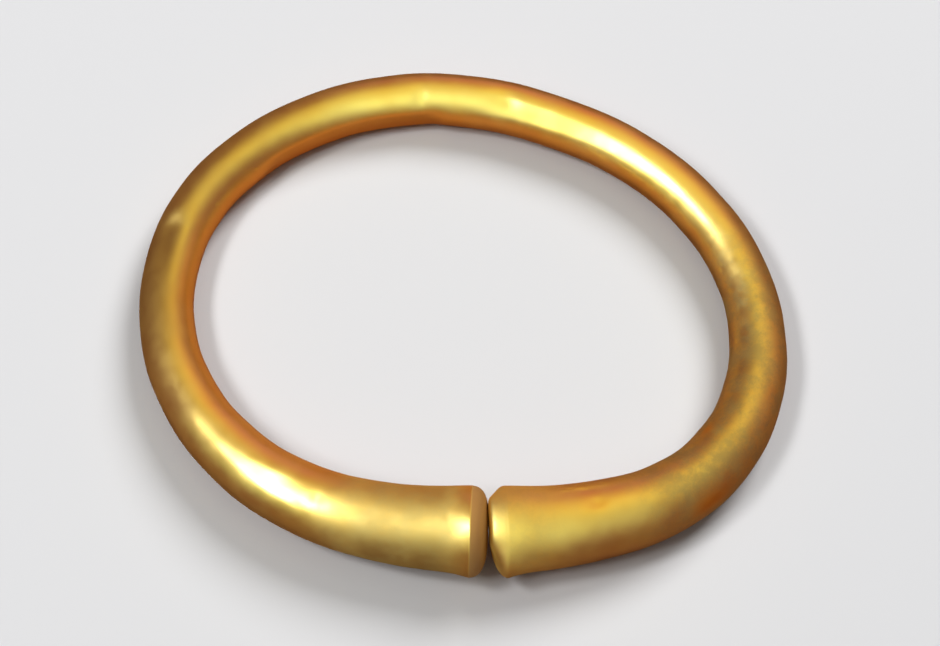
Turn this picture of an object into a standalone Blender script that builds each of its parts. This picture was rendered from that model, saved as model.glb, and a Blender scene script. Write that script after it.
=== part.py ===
"""Penannular armlet: one round bar of solid gold, bent into an open oval hoop.

Metres, +Z up. The hoop lies flat on z = 0, as it does on a table: its width runs along X,
the gap between its ends faces -Y, and the origin is under the middle of its outline.
Run it with blender --background --python part.py, or from the text editor.
"""

import math

import bmesh
import bpy
import numpy as np

# The hoop's outline, measured over the outside
OUTER_WIDTH = 0.0750
OUTER_DEPTH = 0.0642

# The bar's thickness: round the back, where the arms end, and over the rim of each end
BACK_THICKNESS = 0.00635
ARM_END_THICKNESS = 0.0098
RIM_THICKNESS = 0.0108

# Lengths along the bar, from each tip
END_DOME = 0.0024
FLARE_LENGTH = 0.0050
ARM_TAPER_LENGTH = 0.0500

# Space between the two tips, and the depth worn off the underside where the bar lies on it
GAP = 0.0003
WEAR_DEPTH = 0.00006

# How the thickness changes: 1 is a straight cone, more falls off sooner
ARM_TAPER_POWER = 1.35
FLARE_POWER = 2.0
LIFT_POWER = 2.0
# Section of the domed ends: 2 is a plain ellipse, more is fuller at the rim
DOME_FULLNESS = 2.6

# The bend of the bar, as shares of the half width and half depth of its centre line.
# It is bent by hand, so the left and the right arm differ, and the gap is off the middle.
HOOP_STATIONS = (
    (0.09, -1.00),  # the gap
    (-0.28, -0.95),
    (-0.625, -0.775),
    (-0.91, -0.395),
    (-1.00, 0.085),  # widest on the left
    (-0.855, 0.58),
    (-0.505, 0.90),
    (-0.135, 1.00),  # the back
    (0.045, 0.98),
    (0.345, 0.875),
    (0.715, 0.59),
    (0.95, 0.145),
    (0.965, -0.375),  # widest on the right
    (0.73, -0.80),  # the tightest bend
    (0.385, -0.96),
    (0.09, -1.00),  # the gap again
)

BAR_SIDES = 28
RING_SPACING = 0.0018
DOME_RINGS = 7
FIRST_DOME_ANGLE = math.radians(14)
FINE_STEPS = 4000
FITTING_ROUNDS = 3
WELD_DISTANCE = 0.000001

GOLD_COLOUR = (0.86, 0.60, 0.20, 1.0)
GOLD_ROUGHNESS = 0.3

COLLECTION_NAME = "penannular armlet"
BAR_NAME = "armlet"


def clear_scene():
    for obj in list(bpy.data.objects):
        bpy.data.objects.remove(obj)


def smooth_curve(stations, steps):
    """Points of the natural cubic spline through the stations, spaced by chord length."""
    knots = np.array(stations, float)
    chords = np.hypot(*np.diff(knots, axis=0).T)
    along = np.concatenate([[0], np.cumsum(chords)])
    last = len(knots) - 1
    system = np.eye(last + 1)
    bends = np.zeros_like(knots)
    for i in range(1, last):
        before, after = chords[i - 1], chords[i]
        system[i, i - 1 : i + 2] = before, 2 * (before + after), after
        slope_change = (knots[i + 1] - knots[i]) / after - (knots[i] - knots[i - 1]) / before
        bends[i] = 6 * slope_change
    bends = np.linalg.solve(system, bends)
    where = np.linspace(0, along[-1], steps)
    span = np.clip(np.searchsorted(along, where, side="right") - 1, 0, last - 1)
    to_end = (along[span + 1] - where)[:, None]
    from_start = (where - along[span])[:, None]
    width = chords[span][:, None]
    cubic = (bends[span] * to_end**3 + bends[span + 1] * from_start**3) / (6 * width)
    start_line = (knots[span] / width - bends[span] * width / 6) * to_end
    end_line = (knots[span + 1] / width - bends[span + 1] * width / 6) * from_start
    return cubic + start_line + end_line


def lengths_along(points):
    steps = np.linalg.norm(np.diff(points, axis=0), axis=1)
    return np.concatenate([[0], np.cumsum(steps)])


def arm_radius(from_tip):
    """Half the bar's thickness without its flare: it grows evenly from the back to the arm's end."""
    left = np.clip(1 - (from_tip - END_DOME) / ARM_TAPER_LENGTH, 0, 1)
    growth = ARM_END_THICKNESS - BACK_THICKNESS
    return (BACK_THICKNESS + growth * left**ARM_TAPER_POWER) / 2


def flare_radius(from_tip):
    """What the flare adds to the arm, from nothing up to the rim."""
    left = np.clip(1 - (from_tip - END_DOME) / FLARE_LENGTH, 0, 1)
    return (RIM_THICKNESS - ARM_END_THICKNESS) / 2 * left**FLARE_POWER


def dome_share(from_tip):
    """Share of the rim's radius that the domed end has: 0 at the tip, 1 from the rim on."""
    left = np.clip(1 - from_tip / END_DOME, 0, 1)
    return (1 - left**DOME_FULLNESS) ** (1 / DOME_FULLNESS)


def bar_radius(from_tip):
    return (arm_radius(from_tip) + flare_radius(from_tip)) * dome_share(from_tip)


def axis_height(from_tip):
    """Height of the bar's axis: the back lies on the table, and the rims lift the arms' ends."""
    lift = (RIM_THICKNESS - ARM_END_THICKNESS) / 2
    left = np.clip(1 - (from_tip - END_DOME) / ARM_TAPER_LENGTH, 0, 1)
    return arm_radius(from_tip) + lift * left**LIFT_POWER - WEAR_DEPTH


def fit_between(values, radii, size):
    """Stretches the centre line along one axis until the bar measures size over the outside."""
    low, high = np.argmin(values - radii), np.argmax(values + radii)
    stretch = (size - radii[low] - radii[high]) / (values[high] - values[low])
    outer_middle = (values[high] + values[low]) / 2 * stretch + (radii[high] - radii[low]) / 2
    return values * stretch - outer_middle


def distance_from_tip(along):
    """Distance to the nearer tip. The tips stand off the middle of the gap by half of it."""
    return np.maximum(np.minimum(along, along[-1] - along) - GAP / 2, 0)


def centre_line():
    """The plan of the hoop's centre line in fine steps, at its real size."""
    points = smooth_curve(HOOP_STATIONS, FINE_STEPS)
    points = points * ((OUTER_WIDTH - BACK_THICKNESS) / 2, (OUTER_DEPTH - BACK_THICKNESS) / 2)
    for _ in range(FITTING_ROUNDS):
        radii = bar_radius(distance_from_tip(lengths_along(points)))
        points = np.stack(
            [
                fit_between(points[:, 0], radii, OUTER_WIDTH),
                fit_between(points[:, 1], radii, OUTER_DEPTH),
            ],
            axis=1,
        )
    return points


def ring_places(length):
    """Distances along the bar of its rings: close together on the domes, even between them."""
    angles = np.linspace(FIRST_DOME_ANGLE, math.pi / 2, DOME_RINGS)
    dome = END_DOME * (1 - np.cos(angles) ** (2 / DOME_FULLNESS))
    plain = length - 2 * END_DOME
    even = np.linspace(END_DOME, length - END_DOME, max(2, round(plain / RING_SPACING)) + 1)
    return np.concatenate([dome[:-1], even, length - dome[-2::-1]])


def bar_points():
    """One row of x, y, z and radius for each ring of the bar."""
    plan = centre_line()
    along = lengths_along(plan)
    length = along[-1] - GAP
    places = ring_places(length)
    from_tip = np.minimum(places, length - places)
    where = places + GAP / 2
    return np.stack(
        [
            np.interp(where, along, plan[:, 0]),
            np.interp(where, along, plan[:, 1]),
            axis_height(np.maximum(from_tip, END_DOME)),
            bar_radius(from_tip),
        ],
        axis=1,
    )


def bar_curve():
    """The bar as a wire with a round bevel, thick and thin by its points' radii."""
    data = bpy.data.curves.new(BAR_NAME, "CURVE")
    data.dimensions = "3D"
    data.twist_mode = "Z_UP"
    data.bevel_depth = 1.0
    data.bevel_resolution = BAR_SIDES // 2 - 2
    data.use_fill_caps = True
    spline = data.splines.new("POLY")
    rings = bar_points()
    spline.points.add(len(rings) - 1)
    for point, (x, y, z, radius) in zip(spline.points, rings):
        point.co = (x, y, z, 1)
        point.radius = radius
        point.tilt = math.pi / BAR_SIDES
    curve = bpy.data.objects.new(BAR_NAME, data)
    bpy.context.scene.collection.objects.link(curve)
    return curve


def mesh_of(curve, collection):
    """The curve's own shape as a mesh with its caps welded on. The curve is removed."""
    bpy.context.view_layer.update()
    graph = bpy.context.evaluated_depsgraph_get()
    mesh = bpy.data.meshes.new_from_object(curve.evaluated_get(graph))
    work = bmesh.new()
    work.from_mesh(mesh)
    bmesh.ops.remove_doubles(work, verts=work.verts, dist=WELD_DISTANCE)
    bmesh.ops.recalc_face_normals(work, faces=work.faces)
    work.to_mesh(mesh)
    work.free()
    place = curve.matrix_world.copy()
    bpy.data.objects.remove(curve)
    bar = bpy.data.objects.new(BAR_NAME, mesh)
    bar.matrix_world = place
    collection.objects.link(bar)
    return bar


def wear_underside_flat(bar):
    """The worn strip that the hoop lies on: what would reach below z = 0 is flat there."""
    for vertex in bar.data.vertices:
        vertex.co.z = max(vertex.co.z, 0)


def gold():
    material = bpy.data.materials.new("gold")
    material.use_nodes = True
    shader = material.node_tree.nodes["Principled BSDF"]
    shader.inputs["Base Color"].default_value = GOLD_COLOUR
    shader.inputs["Metallic"].default_value = 1.0
    shader.inputs["Roughness"].default_value = GOLD_ROUGHNESS
    material.diffuse_color = GOLD_COLOUR
    return material


def build():
    clear_scene()
    collection = bpy.data.collections.new(COLLECTION_NAME)
    bpy.context.scene.collection.children.link(collection)
    bar = mesh_of(bar_curve(), collection)
    wear_underside_flat(bar)
    bar.data.materials.clear()
    bar.data.materials.append(gold())
    bar.data.shade_smooth()


build()
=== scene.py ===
import math

import bmesh
import bpy
import numpy as np
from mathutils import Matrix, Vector


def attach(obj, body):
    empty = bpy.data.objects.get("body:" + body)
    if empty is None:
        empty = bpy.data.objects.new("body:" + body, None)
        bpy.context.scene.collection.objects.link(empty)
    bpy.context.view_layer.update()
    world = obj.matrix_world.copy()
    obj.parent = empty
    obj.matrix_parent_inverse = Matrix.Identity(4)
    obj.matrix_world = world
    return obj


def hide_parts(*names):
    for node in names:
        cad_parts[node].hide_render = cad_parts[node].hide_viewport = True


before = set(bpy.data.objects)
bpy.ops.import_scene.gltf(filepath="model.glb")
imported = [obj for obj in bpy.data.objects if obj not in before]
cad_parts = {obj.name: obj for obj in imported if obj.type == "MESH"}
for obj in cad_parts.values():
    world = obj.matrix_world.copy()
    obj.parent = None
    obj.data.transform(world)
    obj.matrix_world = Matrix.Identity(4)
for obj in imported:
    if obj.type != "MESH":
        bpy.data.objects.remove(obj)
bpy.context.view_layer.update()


# The camera stands on the side of the hoop's gap and looks down at it, about two thirds of
# the way to straight above, through a long lens.
MM = 0.001
CAMERA_PLACE = (0.96 * MM, -105.28 * MM, 237.73 * MM)
CAMERA_TILT = math.radians(24)
CAMERA_LENS = 84.9
CAMERA_FILM_WIDTH = 36
CAMERA_NEAREST = 10 * MM

bpy.ops.object.camera_add(location=CAMERA_PLACE, rotation=(CAMERA_TILT, 0, 0))
camera = bpy.context.object
camera.name = "camera"
camera.data.sensor_width = CAMERA_FILM_WIDTH
camera.data.lens = CAMERA_LENS
camera.data.clip_start = CAMERA_NEAREST
bpy.context.scene.camera = camera


# The armlet is one round bar of high-carat gold. It is cast and hammered straight, thick at
# its two ends and thin in its middle, the ends are swelled into flared rims with domed faces,
# and then it is bent round cold until the ends nearly meet. Wear has softened all of it.
BAR_LENGTH = 197.0 * MM
GAP = 0.3 * MM
BACK_THICKNESS = 6.35 * MM
ARM_END_THICKNESS = 9.8 * MM
RIM_THICKNESS = 10.75 * MM
TAPER_LENGTH = 50 * MM
TAPER_POWER = 1.35
LIFT_POWER = 2
FLARE_LENGTH = 4.0 * MM
FLARE_POWER = 2.4
DOME_HEIGHT = 2.05 * MM
BAR_SIDES = 24
HALF_RINGS = 90
RING_THICKNESS = 0.05 * MM
# Edges that run along the bar are longer than this, measured along it
SHORTEST_LENGTHWISE = 1 * MM
SMOOTHING_LEVELS = 2

# A cage of so few sides gets rounder and thinner when it is smoothed, so it starts wider
SMOOTHING_LOSS = (2 + math.cos(2 * math.pi / BAR_SIDES)) / 3
FIRST_TIP = GAP / 2
LAST_TIP = FIRST_TIP + BAR_LENGTH


def taper_left(from_tip):
    """1 where the arm ends, falling to 0 where the taper runs out."""
    return np.clip(1 - (from_tip - DOME_HEIGHT) / TAPER_LENGTH, 0, 1)


def flare_left(from_tip):
    """1 at the rim, falling to 0 where the flare runs out."""
    return np.clip(1 - (from_tip - DOME_HEIGHT) / FLARE_LENGTH, 0, 1)


def bar_radius(from_tip):
    """Half the bar's thickness: the taper of the arm, and the flare that ends in the rim."""
    growth = (ARM_END_THICKNESS - BACK_THICKNESS) * taper_left(from_tip) ** TAPER_POWER
    flare = (RIM_THICKNESS - ARM_END_THICKNESS) * flare_left(from_tip) ** FLARE_POWER
    return (BACK_THICKNESS + growth + flare) / 2


def axis_height(from_tip):
    """Height of the bar's axis: the thin part lies on the table, the rims lift the ends."""
    growth = (ARM_END_THICKNESS - BACK_THICKNESS) * taper_left(from_tip) ** TAPER_POWER
    lift = (RIM_THICKNESS - ARM_END_THICKNESS) * taper_left(from_tip) ** LIFT_POWER
    return (BACK_THICKNESS + growth + lift) / 2


def select_ring(along):
    """Selects the ring of points at that distance along the straight bar."""
    bpy.ops.mesh.select_all(action="DESELECT")
    mesh = bmesh.from_edit_mesh(bar.data)
    for point in mesh.verts:
        point.select = bool(abs(point.co.x - along) < RING_THICKNESS)
    mesh.select_flush(True)
    bmesh.update_edit_mesh(bar.data)


first_ring = FIRST_TIP + DOME_HEIGHT + FLARE_LENGTH
last_ring = LAST_TIP - DOME_HEIGHT - FLARE_LENGTH

bpy.ops.object.select_all(action="DESELECT")
bpy.ops.mesh.primitive_cylinder_add(
    vertices=BAR_SIDES,
    radius=BACK_THICKNESS / 2 / SMOOTHING_LOSS,
    depth=last_ring - first_ring,
    location=((first_ring + last_ring) / 2, 0, 0),
    rotation=(0, math.pi / 2, 0),
)
bar = bpy.context.object
bar.name = "armlet_gold"
bpy.ops.object.transform_apply(location=True, rotation=True, scale=True)

# The bar's long edges are halved, and then each half is cut into its rings
bpy.ops.object.mode_set(mode="EDIT")
bpy.ops.mesh.select_mode(type="EDGE")
for cuts in (1, HALF_RINGS - 1):
    bpy.ops.mesh.select_all(action="DESELECT")
    cage = bmesh.from_edit_mesh(bar.data)
    for edge in cage.edges:
        lengthwise = abs(edge.verts[0].co.x - edge.verts[1].co.x)
        edge.select = bool(lengthwise > SHORTEST_LENGTHWISE)
    bmesh.update_edit_mesh(bar.data)
    bpy.ops.mesh.subdivide(number_cuts=cuts)
bpy.ops.mesh.select_mode(type="VERT")

for along in np.linspace(first_ring, last_ring, 2 * HALF_RINGS + 1):
    from_tip = min(along - FIRST_TIP, LAST_TIP - along)
    swell = bar_radius(from_tip) / (BACK_THICKNESS / 2)
    select_ring(along)
    bpy.ops.transform.resize(value=(1, swell, swell), center_override=(along, 0, 0))
    bpy.ops.transform.translate(value=(0, 0, axis_height(from_tip)))

# Each end is drawn on ring by ring: the flare up to the rim, then the dome over its face. The
# flare's rings are so many mm from the rim, and the dome's so many degrees from the tip.
# The first end's rim is still a sharp shoulder, and the second end's is worn round.
FLARE_RINGS = (3.2, 2.5, 1.9, 1.4, 1.0, 0.65, 0.3, 0)
DOME_TURNS = (84, 77, 69, 60, 50, 39, 28, 16)
ENDS = (
    {"side": -1, "tip": FIRST_TIP, "fullness": 3.0, "shoulder": 0.05, "crease": 0.75},
    {"side": 1, "tip": LAST_TIP, "fullness": 2.0, "shoulder": 0.0, "crease": 0.0},
)
for end in ENDS:
    at = first_ring if end["side"] < 0 else last_ring
    radius = bar_radius(abs(end["tip"] - at))
    height = axis_height(abs(end["tip"] - at))
    places = [(d, bar_radius(d)) for d in DOME_HEIGHT + np.array(FLARE_RINGS) * MM]
    rim = places[-1][1]
    for turn in DOME_TURNS:
        drop = math.sin(math.radians(turn)) ** (2 / end["fullness"])
        left = math.cos(math.radians(turn)) ** (2 / end["fullness"])
        places.append((DOME_HEIGHT * (1 - left), rim * drop * (1 - end["shoulder"] * left)))
    select_ring(at)
    for from_tip, new_radius in places:
        new_at = end["tip"] - end["side"] * from_tip
        new_height = axis_height(max(from_tip, DOME_HEIGHT))
        step = (new_at - at, 0, new_height - height)
        bpy.ops.mesh.extrude_region_move(TRANSFORM_OT_translate={"value": step})
        scale = new_radius / radius
        middle = (new_at, 0, new_height)
        bpy.ops.transform.resize(value=(1, scale, scale), center_override=middle)
        if from_tip == DOME_HEIGHT and end["crease"]:
            bpy.ops.transform.edge_crease(value=end["crease"])
        at, radius, height = new_at, new_radius, new_height

bpy.ops.object.mode_set(mode="OBJECT")

bpy.ops.object.modifier_add(type="SUBSURF")
bar.modifiers[-1].levels = SMOOTHING_LEVELS
bar.modifiers[-1].render_levels = SMOOTHING_LEVELS
bpy.ops.object.modifier_apply(modifier=bar.modifiers[-1].name)


def points_of(piece):
    """The piece's points as rows of x, y and z."""
    flat = np.zeros(len(piece.data.vertices) * 3, np.float32)
    piece.data.vertices.foreach_get("co", flat)
    return flat.reshape(-1, 3).astype(float)


def move_points(piece, places):
    """Puts the piece's points at rows of x, y and z."""
    piece.data.vertices.foreach_set("co", places.astype(np.float32).ravel())


def keep_on_points(piece, name, kind, values):
    """Stores values on the piece's points, where its material can read them."""
    field = "vector" if kind == "FLOAT_VECTOR" else "value"
    attribute = piece.data.attributes.new(name, kind, "POINT")
    attribute.data.foreach_set(field, np.asarray(values, np.float32).ravel())


def fade(low, high, values):
    """0 below low and 1 above high, with a soft step between them."""
    share = np.clip((values - low) / (high - low), 0, 1)
    return share * share * (3 - 2 * share)


# While the bar is straight, a place on it is its distance from the first tip, and its angle
# round the bar, which is 0 on top and 90 degrees on the side that will face outwards. A point
# on the axis itself counts as a little off it.
LEAST_RADIUS = 0.1 * MM
smooth = points_of(bar)
from_tip = np.minimum(smooth[:, 0] - FIRST_TIP, LAST_TIP - smooth[:, 0])
axis = axis_height(np.maximum(from_tip, DOME_HEIGHT))
from_axis = np.stack([smooth[:, 1], smooth[:, 2] - axis], axis=1)
radius_there = np.maximum(np.hypot(from_axis[:, 0], from_axis[:, 1]), LEAST_RADIUS)
along_bar = smooth[:, 0] - FIRST_TIP
angle_round = np.arctan2(from_axis[:, 0], from_axis[:, 1])
upwards = np.cos(angle_round)
outwards = np.sin(angle_round)
second = along_bar > BAR_LENGTH / 2

# The rims stand out underneath and at the hoop's outer side, and not at all inside. Each has
# the angle where it stands out most, and how it fades with the cosine of the way from there.
FIRST_RIM_SIDE = math.radians(90)
FIRST_RIM_FADE = (-0.5, 0.6)
SECOND_RIM_SIDE = math.radians(130)
SECOND_RIM_FADE = (0.0, 0.9)
first_kept = fade(*FIRST_RIM_FADE, np.cos(angle_round - FIRST_RIM_SIDE))
second_kept = fade(*SECOND_RIM_FADE, np.cos(angle_round - SECOND_RIM_SIDE))
rim_kept = np.where(second, second_kept, first_kept)
flared = flare_left(from_tip) ** FLARE_POWER
swell = 1 - (1 - rim_kept) * flared * (1 - ARM_END_THICKNESS / RIM_THICKNESS)

# The second end is full on top right up to the gap, with only a slight fall before it
FULL_TOP = 10
FULL_TOP_FADE = (0.2, 0.9)
ALMOST_AT_TIP = 0.995
EASE_LENGTH = 5.0 * MM
EASE_DEPTH = 0.09
past_rim = np.where(second, np.clip(1 - from_tip / DOME_HEIGHT, 0, ALMOST_AT_TIP), 0)
eased = np.where(second, np.clip(1 - from_tip / EASE_LENGTH, 0, 1), 0) ** 2
full = (1 - past_rim**FULL_TOP) ** (1 / FULL_TOP) / np.sqrt(1 - past_rim**2)
full *= 1 - EASE_DEPTH * eased
swell *= 1 + (full - 1) * fade(*FULL_TOP_FADE, upwards)

from_axis *= swell[:, None]
radius_there *= swell
smooth[:, 1] = from_axis[:, 0]
smooth[:, 2] = from_axis[:, 1] + axis
move_points(bar, smooth)


def stretch(starts, ends):
    """1 on a stretch of the bar, which comes in and goes out between the two pairs of mm."""
    coming = fade(starts[0] * MM, starts[1] * MM, along_bar)
    going = fade(ends[0] * MM, ends[1] * MM, along_bar)
    return coming * (1 - going)


# The stretch of the second arm that is matt and pitted from lying in the ground
worn = stretch((132, 150), (174, 184))

# A stretch of the first arm, on top and outside, up to a crease and, less so, beyond it, is
# rougher and painted darker as painted shade
SHADED_SIDE_FADE = (-0.7, 0.0)
rough_and_shaded = (stretch((38, 52), (59, 64)) + stretch((38, 52), (76, 94))) / 2
rough_and_shaded *= fade(*SHADED_SIDE_FADE, outwards)

# Both arms' ends, rubbed to a soft satin by handling, the first one as far as its rim
SECOND_SATIN_STARTS = (185 * MM, 193 * MM)
SECOND_SATIN_SHARE = 0.7
satin = stretch((1.5, 4.5), (14, 21))
satin += SECOND_SATIN_SHARE * fade(*SECOND_SATIN_STARTS, along_bar)
# The satin is faintly mottled as the pitted stretch is
SATIN_MOTTLE = 0.45
mottled = np.maximum(worn, SATIN_MOTTLE * satin)

# Painted shade: the first arm's end is painted a little darker behind its rim, and more so on
# its outer side
SHADE_ON_TOP = 0.6
SHADE_SIDE_FADE = (0.2, 0.9)
painted_shade_behind_rim = stretch((2, 6), (11, 21))
painted_shade_behind_rim *= SHADE_ON_TOP + (1 - SHADE_ON_TOP) * fade(*SHADE_SIDE_FADE, outwards)

# The domed face of the first end, inside its rim. Its dark brown colour is painted shade, as the
# face looks into the narrow gap.
FACE_EDGE = (1.9 * MM, 2.1 * MM)
face = np.where(second, 0.0, 1.0) * (1 - fade(*FACE_EDGE, from_tip))

# The surface's unevenness: broad dents from the hammer, finer ones from the last light blows,
# and pits in the worn stretch
hammered = bpy.data.textures.new("hammered", "CLOUDS")
hammered.noise_scale = 7 * MM
planished = bpy.data.textures.new("planished", "CLOUDS")
planished.noise_scale = 2.6 * MM
pitted = bpy.data.textures.new("pitted", "CLOUDS")
pitted.noise_scale = 1.3 * MM
pitted.noise_depth = 1

pitted_points = bar.vertex_groups.new(name="pitted stretch")
for index, share in enumerate(worn):
    pitted_points.add([index], float(share), "REPLACE")

for texture, depth, where in (
    (hammered, 0.10 * MM, ""),
    (planished, 0.015 * MM, ""),
    (pitted, 0.025 * MM, pitted_points.name),
):
    bpy.ops.object.modifier_add(type="DISPLACE")
    beaten = bar.modifiers[-1]
    beaten.texture = texture
    beaten.texture_coords = "LOCAL"
    beaten.mid_level = 0.9
    beaten.strength = depth
    beaten.vertex_group = where
    bpy.ops.object.modifier_apply(modifier=beaten.name)

# Knocks and creases, in mm and degrees. Each is sunk deepest at one place and runs out before
# and after it along the bar, and to both sides round it.
KNOCKS = (
    {"along": 4.5, "angle": 3, "before": 0.5, "after": 0.4, "width": 0.5, "depth": 0.04},
    {"along": 19.0, "angle": 8, "before": 0.9, "after": 0.9, "width": 0.9, "depth": 0.11},
    {"along": 60.8, "angle": 18, "before": 6.5, "after": 1.5, "width": 1.5, "depth": 0.40},
    {"along": 96.8, "angle": -27, "before": 1.2, "after": 0.8, "width": 1.3, "depth": 0.11},
    {"along": 98.0, "angle": -92, "before": 1.6, "after": 1.6, "width": 2.2, "depth": 0.18},
    {"along": 107.2, "angle": -12, "before": 1.8, "after": 1.8, "width": 1.3, "depth": 0.20},
    {"along": 184.8, "angle": -6, "before": 0.8, "after": 0.9, "width": 0.6, "depth": 0.10},
)
# Where the hammer left the bar flat: from and to along it, the way the flat faces, the share of
# the radius left in its middle, how many degrees it leans to its start, and the length over
# which it runs out
FLATS = (
    {"from": 25, "to": 34, "angle": 12, "share": 0.996, "lean": 2.0, "run_out": 6},
    {"from": 113, "to": 130, "angle": -28, "share": 0.969, "lean": 0.7, "run_out": 11},
    {"from": 77, "to": 96, "angle": -90, "share": 0.90, "lean": 0, "run_out": 4},
)
FLAT_SOFTNESS = 0.10 * MM
# The cosine of the way from a flat's middle counts as this much at least, behind the flat too
LEAST_FACING = 0.3


def spot(place):
    """1 at a place on the straight bar, falling to 0 over its length and width."""
    away = along_bar - place["along"] * MM
    lengthwise = away / (np.where(away < 0, place["before"], place["after"]) * MM)
    turned = angle_round - math.radians(place["angle"])
    turned = (turned + math.pi) % (2 * math.pi) - math.pi
    crosswise = turned * radius_there / (place["width"] * MM)
    return np.exp(-(lengthwise**2) - crosswise**2)


def beyond_flat(flat):
    """How far the round bar stands out beyond a flat, with the flat's edge rounded off."""
    middle = (flat["from"] + flat["to"]) / 2 * MM
    facing = np.cos(angle_round - math.radians(flat["angle"])).clip(LEAST_FACING)
    beyond = (1 - flat["share"] / facing) * radius_there
    beyond += math.tan(math.radians(flat["lean"])) * (middle - along_bar)
    return (beyond + np.hypot(beyond, FLAT_SOFTNESS)) / 2


moved = points_of(bar)
sunk = sum(knock["depth"] * MM * spot(knock) for knock in KNOCKS)
for flat in FLATS:
    starts = (flat["from"] - flat["run_out"], flat["from"])
    ends = (flat["to"], flat["to"] + flat["run_out"])
    sunk += beyond_flat(flat) * stretch(starts, ends)
moved[:, 1] -= sunk * from_axis[:, 0] / radius_there
moved[:, 2] -= sunk * from_axis[:, 1] / radius_there
move_points(bar, moved)

# Small orange stains, in mm and degrees, each with how strong it is. The last, beside a knock,
# is partly a painted glint.
STAINS_AND_GLINT = (
    {"along": 167.5, "angle": -45, "before": 1.2, "after": 1.2, "width": 0.8, "share": 0.8},
    {"along": 173.3, "angle": 60, "before": 3.0, "after": 2.0, "width": 1.4, "share": 1.0},
    {"along": 184.2, "angle": -5, "before": 0.8, "after": 0.8, "width": 0.7, "share": 0.35},
)
stained_and_glint = sum(stain["share"] * spot(stain) for stain in STAINS_AND_GLINT)

straight_places = np.column_stack([along_bar, from_axis])
keep_on_points(bar, "straight", "FLOAT_VECTOR", straight_places)
for name, values in (
    ("mottled", mottled),
    ("rough_and_shaded", rough_and_shaded),
    ("satin", satin),
    ("painted_shade_behind_rim", painted_shade_behind_rim),
    ("top", upwards),
    ("face", face),
    ("stained_and_glint", stained_and_glint),
):
    keep_on_points(bar, name, "FLOAT", values)

# The hoop's line, in mm, from the gap round by the first arm. It was bent by eye, so its two
# sides differ and the gap is off the middle.
HOOP_LINE = (
    (3.2, -26.8),
    (-9.1, -25.5),
    (-18.6, -22.2),
    (-26.0, -16.8),
    (-31.3, -9.7),
    (-34.0, -1.7),
    (-33.9, 6.6),
    (-31.3, 14.2),
    (-26.1, 20.6),
    (-18.3, 25.7),
    (-9.0, 28.5),
    (0.4, 28.6),
    (11.5, 25.6),
    (21.2, 20.4),
    (28.1, 13.7),
    (32.5, 5.9),
    (34.1, -2.4),
    (33.0, -10.4),
    (29.4, -17.2),
    (24.0, -22.0),
    (15.5, -25.3),
    (3.2, -26.8),
)
LINE_STEPS = 48
WEAR_DEPTH = 0.06 * MM
# How the ends run into the gap: nearly along the hoop's width
END_SLOPE = math.radians(2.5)
END_STRAIGHT = 4.2 * MM

bpy.ops.curve.primitive_bezier_curve_add()
line = bpy.context.object
line.data.twist_mode = "Z_UP"
line.data.resolution_u = LINE_STEPS
knots = line.data.splines[0].bezier_points
knots.add(len(HOOP_LINE) - len(knots))
for knot, (x, y) in zip(knots, HOOP_LINE):
    knot.co = (x * MM, y * MM, -WEAR_DEPTH)
    knot.handle_left_type = knot.handle_right_type = "AUTO"
for knot, way in ((knots[0], -1), (knots[-1], 1)):
    knot.handle_left_type = knot.handle_right_type = "FREE"
    inwards = Vector((way * math.cos(END_SLOPE), math.sin(END_SLOPE), 0)) * END_STRAIGHT
    knot.handle_left = knot.handle_right = knot.co + inwards

# The bar was rubbed smooth along its length, so its shine spreads more across it than along.
# Each point keeps the way that the hoop runs there.
course = np.array([point.co for point in line.to_mesh().vertices])
steps = np.diff(course, axis=0)
lengths = np.linalg.norm(steps, axis=1)
middles = np.cumsum(lengths) - lengths / 2
ways = [np.interp(smooth[:, 0], middles, steps[:, i] / lengths) for i in range(3)]
keep_on_points(bar, "lengthways", "FLOAT_VECTOR", np.stack(ways, axis=1))

bpy.ops.object.select_all(action="DESELECT")
bpy.context.view_layer.objects.active = bar
bar.select_set(True)
bpy.ops.object.modifier_add(type="CURVE")
bar.modifiers[-1].object = line
bar.modifiers[-1].deform_axis = "POS_X"
bpy.ops.object.modifier_apply(modifier=bar.modifiers[-1].name)
bpy.data.objects.remove(line)

# What the bar lies on is worn flat
bpy.ops.object.mode_set(mode="EDIT")
bpy.ops.mesh.select_all(action="DESELECT")
lying = bmesh.from_edit_mesh(bar.data)
for point in lying.verts:
    point.select = bool(point.co.z < 0)
lying.select_flush(True)
bmesh.update_edit_mesh(bar.data)
bpy.ops.transform.resize(value=(1, 1, 0), center_override=(0, 0, 0))
bpy.ops.mesh.select_all(action="SELECT")
bpy.ops.mesh.normals_make_consistent(inside=False)
bpy.ops.object.mode_set(mode="OBJECT")
bpy.ops.object.shade_smooth()

# Gold, pale on top, with a deep orange painted reflection and shade on the flanks. The helpers
# add their nodes to nodes and links, which are those of the material being made.
gold = bpy.data.materials.new("old_gold")
gold.use_nodes = True
nodes = gold.node_tree.nodes
links = gold.node_tree.links
shader = nodes["Principled BSDF"]
shader.inputs["Anisotropic"].default_value = 0.5
shader.inputs["Anisotropic Rotation"].default_value = 0.25

# The colour sockets of Blender's Mix node, which come after those for numbers and vectors
MIX_SHARE = 0
MIX_FIRST = 6
MIX_SECOND = 7
MIX_RESULT = 2


def point_value(name, socket="Fac"):
    """What is kept on the points under that name."""
    node = nodes.new("ShaderNodeAttribute")
    node.attribute_name = name
    return node.outputs[socket]


def between(value, low, high, to_low=0.0, to_high=1.0):
    """A value's range as another range, with a soft step."""
    node = nodes.new("ShaderNodeMapRange")
    node.interpolation_type = "SMOOTHSTEP"
    links.new(value, node.inputs["Value"])
    node.inputs["From Min"].default_value = low
    node.inputs["From Max"].default_value = high
    node.inputs["To Min"].default_value = to_low
    node.inputs["To Max"].default_value = to_high
    return node.outputs["Result"]


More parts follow.
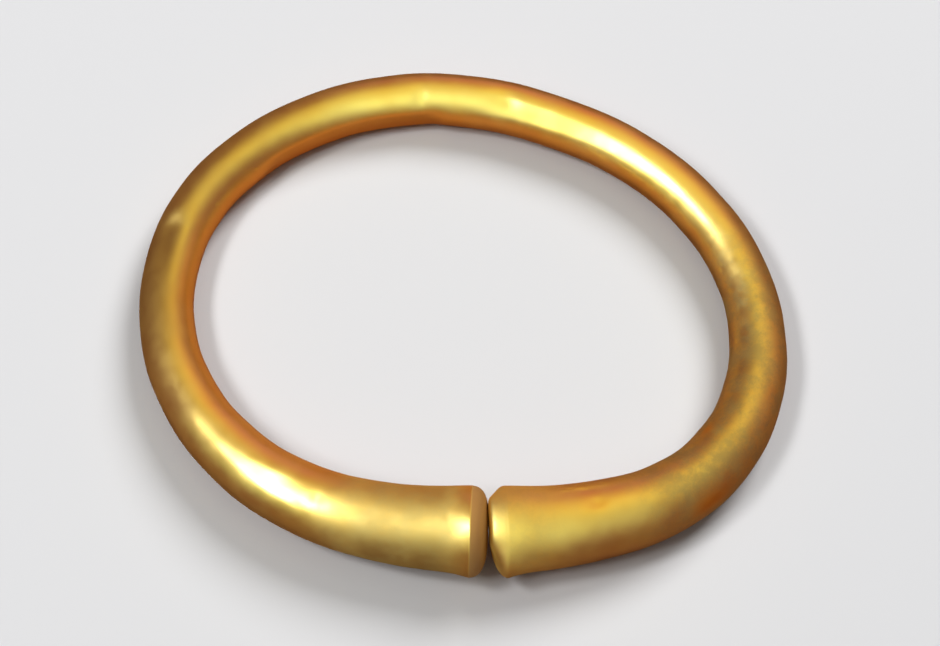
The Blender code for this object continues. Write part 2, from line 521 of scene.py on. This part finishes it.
def noise(place, scale, detail=2.0, roughness=0.5):
    """Soft random values over a place, at a scale of so many spots to the metre."""
    node = nodes.new("ShaderNodeTexNoise")
    links.new(place, node.inputs["Vector"])
    node.inputs["Scale"].default_value = scale
    node.inputs["Detail"].default_value = detail
    node.inputs["Roughness"].default_value = roughness
    return node.outputs["Fac"]


def mixed(share, first, second, blend="MIX"):
    """A colour between two, by a share. Each is a colour or a socket."""
    node = nodes.new("ShaderNodeMix")
    node.data_type = "RGBA"
    node.blend_type = blend
    links.new(share, node.inputs[MIX_SHARE])
    for index, colour in ((MIX_FIRST, first), (MIX_SECOND, second)):
        if isinstance(colour, tuple):
            node.inputs[index].default_value = (*colour, 1)
        else:
            links.new(colour, node.inputs[index])
    return node.outputs[MIX_RESULT]


def product_of(first, second):
    """first x second."""
    node = nodes.new("ShaderNodeMath")
    node.operation = "MULTIPLY"
    links.new(first, node.inputs[0])
    links.new(second, node.inputs[1])
    return node.outputs["Value"]


def sum_of(first, second, times=1.0):
    """first + second x times. The first is a number or a socket."""
    node = nodes.new("ShaderNodeMath")
    node.operation = "MULTIPLY_ADD"
    links.new(second, node.inputs[0])
    node.inputs[1].default_value = times
    if isinstance(first, float):
        node.inputs[2].default_value = first
    else:
        links.new(first, node.inputs[2])
    return node.outputs["Value"]


PALE_GOLD = (0.98, 0.78, 0.24)
DEEP_GOLD = (0.96, 0.70, 0.17)
PAINTED_FLANK_REFLECTION = (0.86, 0.47, 0.12)
# Painted shade, for the rougher stretch of the first arm and behind its rim
PAINTED_SHADE_GOLD = (0.58, 0.42, 0.13)
OCHRE_GOLD = (0.60, 0.54, 0.23)
STAIN_AND_GLINT_ORANGE = (0.96, 0.50, 0.07)
SHADED_FACE_GOLD = (0.46, 0.25, 0.075)
POLISHED_ROUGHNESS = 0.29
FACE_METALLIC_LOSS = 0.6
GRAIN_SCALE = 4000
GRAIN_STRENGTH = 0.06
GRAIN_DEPTH = 0.02 * MM

straight = point_value("straight", "Vector")
rough_and_shaded_share = point_value("rough_and_shaded")
face_share = point_value("face")
clouds = between(noise(straight, scale=160, detail=3.0), low=0.35, high=0.7, to_high=0.7)
# Painted reflection and shade: the colour turns a deeper orange towards the flanks
painted_flank_share = between(point_value("top"), low=0.4, high=-0.5, to_high=0.7)
patches = noise(straight, scale=380, detail=5.0, roughness=0.7)
patches = between(patches, low=0.36, high=0.64, to_low=0.25, to_high=0.85)
mottle = product_of(patches, point_value("mottled"))
smears = between(noise(straight, scale=420, detail=3.0), low=0.3, high=0.7)

colour = mixed(clouds, PALE_GOLD, DEEP_GOLD)
for share, tone in (
    (painted_flank_share, PAINTED_FLANK_REFLECTION),
    (rough_and_shaded_share, PAINTED_SHADE_GOLD),
    (point_value("painted_shade_behind_rim"), PAINTED_SHADE_GOLD),
    (mottle, OCHRE_GOLD),
    (point_value("stained_and_glint"), STAIN_AND_GLINT_ORANGE),
    (face_share, SHADED_FACE_GOLD),
):
    colour = mixed(share, colour, tone)
links.new(colour, shader.inputs["Base Color"])

roughness = POLISHED_ROUGHNESS
for share, added in (
    (smears, 0.07),
    (mottle, 0.15),
    (rough_and_shaded_share, 0.13),
    (point_value("satin"), 0.18),
    (face_share, 0.24),
):
    roughness = sum_of(roughness, share, added)
links.new(roughness, shader.inputs["Roughness"])
links.new(point_value("lengthways", "Vector"), shader.inputs["Tangent"])
links.new(sum_of(1.0, face_share, -FACE_METALLIC_LOSS), shader.inputs["Metallic"])

grain = nodes.new("ShaderNodeBump")
grain.inputs["Strength"].default_value = GRAIN_STRENGTH
grain.inputs["Distance"].default_value = GRAIN_DEPTH
links.new(noise(straight, GRAIN_SCALE), grain.inputs["Height"])
links.new(grain.outputs["Normal"], shader.inputs["Normal"])

bar.data.materials.clear()
bar.data.materials.append(gold)
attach(bar, "root")
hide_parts("armlet")


# The table is a plain pale floor. What the gold mirrors of it is darker and browner, as under
# a studio's flags, so that the bar's flanks keep a deep colour, and warmer inside the hoop.
FLOOR_SIZE = 4.0
FLOOR_COLOUR = (0.74, 0.74, 0.75)
REFLECTED_FLOOR = (0.17, 0.07, 0.05)
WARM_PATCH = (0.42, 0.16, 0.07)
WARM_PATCH_PLACE = (-6 * MM, 4 * MM, 0)
WARM_PATCH_CORE = 14 * MM
WARM_PATCH_EDGE = 34 * MM

bpy.ops.object.select_all(action="DESELECT")
bpy.ops.mesh.primitive_plane_add(size=FLOOR_SIZE)
floor = bpy.context.object
floor.name = "floor"
pale_floor = bpy.data.materials.new("pale_floor")
pale_floor.use_nodes = True
nodes = pale_floor.node_tree.nodes
links = pale_floor.node_tree.links
from_patch = nodes.new("ShaderNodeVectorMath")
from_patch.operation = "DISTANCE"
links.new(nodes.new("ShaderNodeTexCoord").outputs["Object"], from_patch.inputs[0])
from_patch.inputs[1].default_value = WARM_PATCH_PLACE
warmth = between(from_patch.outputs["Value"], low=WARM_PATCH_EDGE, high=WARM_PATCH_CORE)
mirrored = mixed(warmth, REFLECTED_FLOOR, WARM_PATCH)
glossy_ray = nodes.new("ShaderNodeLightPath").outputs["Is Glossy Ray"]
floor_shader = nodes["Principled BSDF"]
links.new(mixed(glossy_ray, FLOOR_COLOUR, mirrored), floor_shader.inputs["Base Color"])
floor_shader.inputs["Roughness"].default_value = 0.9
floor_shader.inputs["Specular IOR Level"].default_value = 0.1
floor.data.materials.append(pale_floor)


# Studio light: two small strong softboxes high on the left, and two lights that the gold doesn't
# mirror, one at the back on the right for the floor's shadows, and a wide one overhead. Each
# stands at an azimuth and elevation in degrees, with its distance and its width in metres.
SOFTBOX = {"way": (-98, 61), "distance": 0.6, "size": 0.125, "brightness": 20}
SECOND_SOFTBOX = {"way": (-121, 57), "distance": 0.6, "size": 0.125, "brightness": 11}
SHADOW_LIGHT = {"way": (40, 45), "distance": 1.0, "size": 0.5, "brightness": 10}
OVERHEAD = {"way": (0, 90), "distance": 1.2, "size": 2.0, "brightness": 0.3}


def heading(azimuth, elevation):
    """The unit vector that way: azimuth is from the back, clockwise seen from above."""
    a, e = math.radians(azimuth), math.radians(elevation)
    return Vector((math.sin(a) * math.cos(e), math.cos(a) * math.cos(e), math.sin(e)))


def area_light(name, way, distance, size, brightness):
    """A round light that way, aimed at the armlet, as bright as that seen from there."""
    bpy.ops.object.light_add(type="AREA", location=heading(*way) * distance)
    light = bpy.context.object
    light.name = name
    light.rotation_mode = "QUATERNION"
    light.rotation_quaternion = heading(*way).to_track_quat("Z", "Y")
    light.data.shape = "DISK"
    light.data.size = size
    light.data.energy = brightness * math.pi * size**2
    light.visible_camera = False
    return light


area_light("softbox", **SOFTBOX)
area_light("second_softbox", **SECOND_SOFTBOX)
area_light("shadow_light", **SHADOW_LIGHT).visible_glossy = False
area_light("overhead", **OVERHEAD).visible_glossy = False


# The room is seen in the gold alone: dim and brown, with soft glows above the camera, at the
# back and on the left. Each glow is a way and a spread in degrees, and a tone.
ROOM_TONE = (0.20, 0.08, 0.08)
GLOWS = (
    {"way": (180, 28), "spread": 20, "tone": (0.15, 0.20, 0.12)},
    {"way": (180, 50), "spread": 22, "tone": (0.72, 0.90, 0.70)},
    {"way": (180, 72), "spread": 22, "tone": (0.75, 0.90, 0.48)},
    {"way": (12, 76), "spread": 22, "tone": (0.46, 0.46, 0.13)},
    {"way": (24, 56), "spread": 22, "tone": (0.42, 0.35, 0.09)},
    {"way": (20, 34), "spread": 20, "tone": (0.30, 0.10, 0.03)},
    {"way": (10, 10), "spread": 20, "tone": (0.30, 0.10, 0.17)},
    {"way": (60, 45), "spread": 24, "tone": (0.20, 0.16, 0.12)},
    {"way": (70, 20), "spread": 15, "tone": (0.30, 0.11, 0.04)},
    {"way": (-120, 30), "spread": 16, "tone": (0.28, 0.45, 0.25)},
)
BACKDROP_COLOUR = (0.80, 0.80, 0.80)

room = bpy.data.worlds.new("room")
bpy.context.scene.world = room
room.use_nodes = True
nodes = room.node_tree.nodes
links = room.node_tree.links
seen_way = nodes.new("ShaderNodeTexCoord").outputs["Generated"]
light = ROOM_TONE
for glow in GLOWS:
    nearness = nodes.new("ShaderNodeVectorMath")
    nearness.operation = "DOT_PRODUCT"
    links.new(seen_way, nearness.inputs[0])
    nearness.inputs[1].default_value = heading(*glow["way"])
    sharpness = 2 / math.radians(glow["spread"]) ** 2
    falling = nodes.new("ShaderNodeMath")
    falling.operation = "EXPONENT"
    links.new(sum_of(-sharpness, nearness.outputs["Value"], sharpness), falling.inputs[0])
    light = mixed(falling.outputs["Value"], light, glow["tone"], "ADD")
camera_ray = nodes.new("ShaderNodeLightPath").outputs["Is Camera Ray"]
light = mixed(camera_ray, light, BACKDROP_COLOUR)
links.new(light, nodes["Background"].inputs["Color"])
room.cycles_visibility.diffuse = False
bpy.context.scene.view_settings.view_transform = "Standard"
